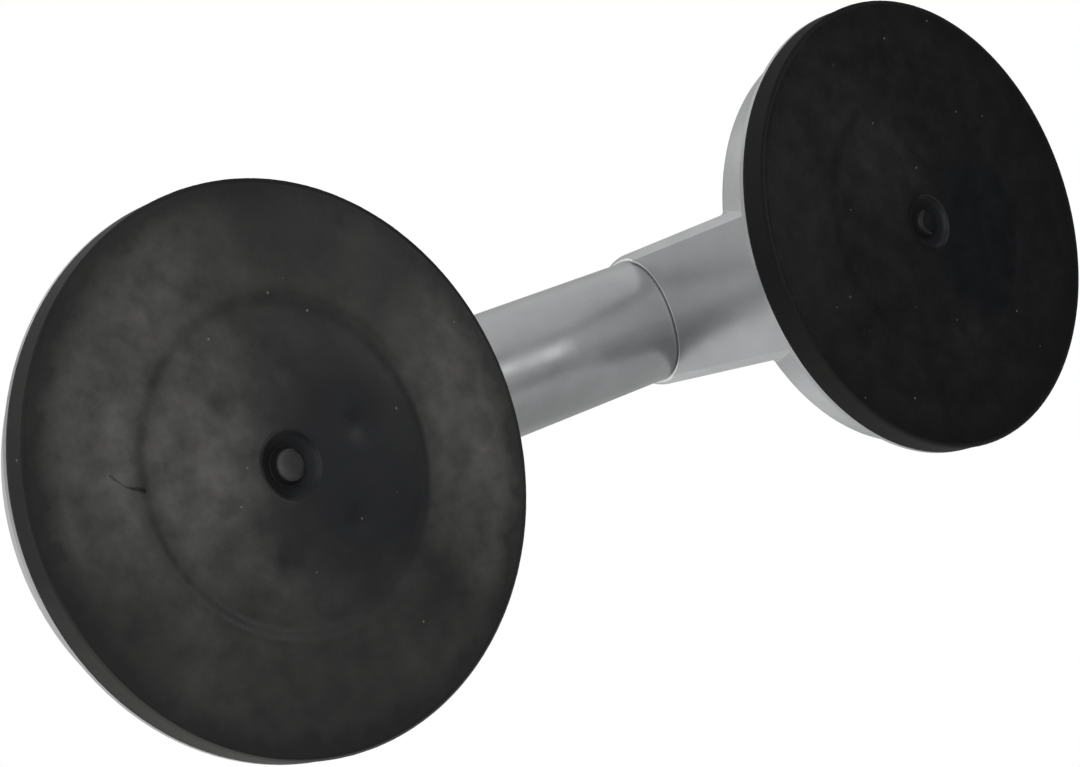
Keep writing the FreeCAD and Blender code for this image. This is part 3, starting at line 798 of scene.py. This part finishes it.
def floor_material(shade):
    """Pale and matt from above, and not there at all from below."""
    material = bpy.data.materials.new("pale_floor")
    nodes, links = empty_tree(material)
    matt = nodes.new("ShaderNodeBsdfDiffuse")
    matt.inputs["Color"].default_value = rgba(shade)
    clear = nodes.new("ShaderNodeBsdfTransparent")
    facing = nodes.new("ShaderNodeNewGeometry")
    choose = nodes.new("ShaderNodeMixShader")
    links.new(facing.outputs["Backfacing"], choose.inputs[0])
    links.new(matt.outputs[0], choose.inputs[1])
    links.new(clear.outputs[0], choose.inputs[2])
    output = nodes.new("ShaderNodeOutputMaterial")
    links.new(choose.outputs[0], output.inputs["Surface"])
    return material


def lay_floor(shade):
    """A pale floor just under the pads, which adds no light of its own to the object."""
    mesh = sheet_mesh("floor", FLOOR_REACH, FLOOR_REACH, -FLOOR_DROP, floor_material(shade))
    floor = link(bpy.data.objects.new("floor", mesh))
    floor.visible_diffuse = False
    floor.visible_glossy = False
    floor.visible_transmission = False
    floor.visible_shadow = False


def place_camera(lens):
    """The camera under the lifter, looking up along it."""
    camera = link(bpy.data.objects.new("camera", bpy.data.cameras.new("camera")))
    camera.data.lens = lens
    aim(camera, CAMERA_PLACE, CAMERA_TARGET, CAMERA_UP)
    bpy.context.scene.camera = camera


# Operators


class LIFTER_OT_stage(bpy.types.Operator):
    """Lay the floor, hang the lamps and place the camera"""

    bl_idname = "lifter.stage"
    bl_label = "Set up studio"

    def execute(self, context):
        studio = context.scene.lifter_studio
        context.scene.view_settings.view_transform = "Standard"
        studio_world(studio.ambient)
        lay_floor(studio.floor)
        lamps = {name: soft_lamp(name, place, size, power) for name, place, size, power in LAMPS}
        lamps["top_lamp"].visible_glossy = False
        for name, place, target, size, shade in CARDS:
            card(name, place, target, size, shade)
        place_camera(studio.lens)
        return {"FINISHED"}


class LIFTER_OT_paint(bpy.types.Operator):
    """Paint the castings and the grip tube silver"""

    bl_idname = "lifter.paint"
    bl_label = "Paint castings and grip"

    def execute(self, context):
        dress(["grip_tube"] + both("end_casting"), silver_paint(context.scene.lifter_finish))
        return {"FINISHED"}


class LIFTER_OT_pads(bpy.types.Operator):
    """Model the rubber pads in place of the plain discs"""

    bl_idname = "lifter.pads"
    bl_label = "Mould rubber pads"

    def execute(self, context):
        for side in SIDES:
            low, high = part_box(side + "_suction_pad")
            centre = cup_centre(side)
            outer = (high.x - low.x) / 2
            mesh = pad_mesh(context.scene.lifter_pad, side, centre, outer)
            piece = link(bpy.data.objects.new(side + "_rubber_pad", mesh))
            mesh.shade_smooth()
            mesh.materials.append(pad_rubber(context.scene.lifter_finish, side, centre))
            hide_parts(side + "_suction_pad")
            lift_with_stud(piece)
        return {"FINISHED"}


class LIFTER_OT_levers(bpy.types.Operator):
    """Finish the cam levers and the plates that they rub on"""

    bl_idname = "lifter.levers"
    bl_label = "Finish levers and cam plates"

    def execute(self, context):
        finish = context.scene.lifter_finish
        dress(both("lever"), lever_nylon(finish))
        dress(both("cam_plate"), cam_nylon(finish))
        return {"FINISHED"}


class LIFTER_OT_steelwork(bpy.types.Operator):
    """Finish the studs, plates, pins, washers, clips, plugs and bolts"""

    bl_idname = "lifter.steelwork"
    bl_label = "Finish steel and aluminium parts"

    def execute(self, context):
        zinc = zinc_steel(context.scene.lifter_finish)
        dress(both("backing_plate", "pull_stud", "pivot_pin", "pin_washer", "tube_bolt"), zinc)
        dress(both("pin_clip"), plain_metal("clip_steel", 0.14, 0.30, 0.45))
        dress(both("tube_plug"), plain_metal("turned_aluminium", 0.70, 0.22, 0.34))
        return {"FINISHED"}


STEPS = (LIFTER_OT_stage, LIFTER_OT_paint, LIFTER_OT_pads, LIFTER_OT_levers, LIFTER_OT_steelwork)
GROUPS = {
    "lifter_pad": LifterPadSettings,
    "lifter_finish": LifterFinishSettings,
    "lifter_studio": LifterStudioSettings,
}


class LIFTER_PT_panel(bpy.types.Panel):
    """Makes the lifter's pieces one by one"""

    bl_label = "Suction Lifter"
    bl_space_type = "VIEW_3D"
    bl_region_type = "UI"
    bl_category = "Lifter"

    def draw(self, context):
        for step in STEPS:
            self.layout.operator(step.bl_idname)
        for name in GROUPS:
            group = getattr(context.scene, name)
            for key in group.bl_rna.properties.keys():
                if key not in ("rna_type", "name"):
                    self.layout.prop(group, key)


def register():
    """Register the classes and attach their settings to the scene."""
    for name, group in GROUPS.items():
        bpy.utils.register_class(group)
        setattr(bpy.types.Scene, name, bpy.props.PointerProperty(type=group))
    for step in STEPS:
        bpy.utils.register_class(step)
    bpy.utils.register_class(LIFTER_PT_panel)


def unregister():
    """Undo register."""
    bpy.utils.unregister_class(LIFTER_PT_panel)
    for step in reversed(STEPS):
        bpy.utils.unregister_class(step)
    for name, group in reversed(GROUPS.items()):
        delattr(bpy.types.Scene, name)
        bpy.utils.unregister_class(group)


def main():
    """Make the lifter."""
    register()
    for step in STEPS:
        group, name = step.bl_idname.split(".")
        getattr(getattr(bpy.ops, group), name)()


if __name__ == "__main__":
    main()
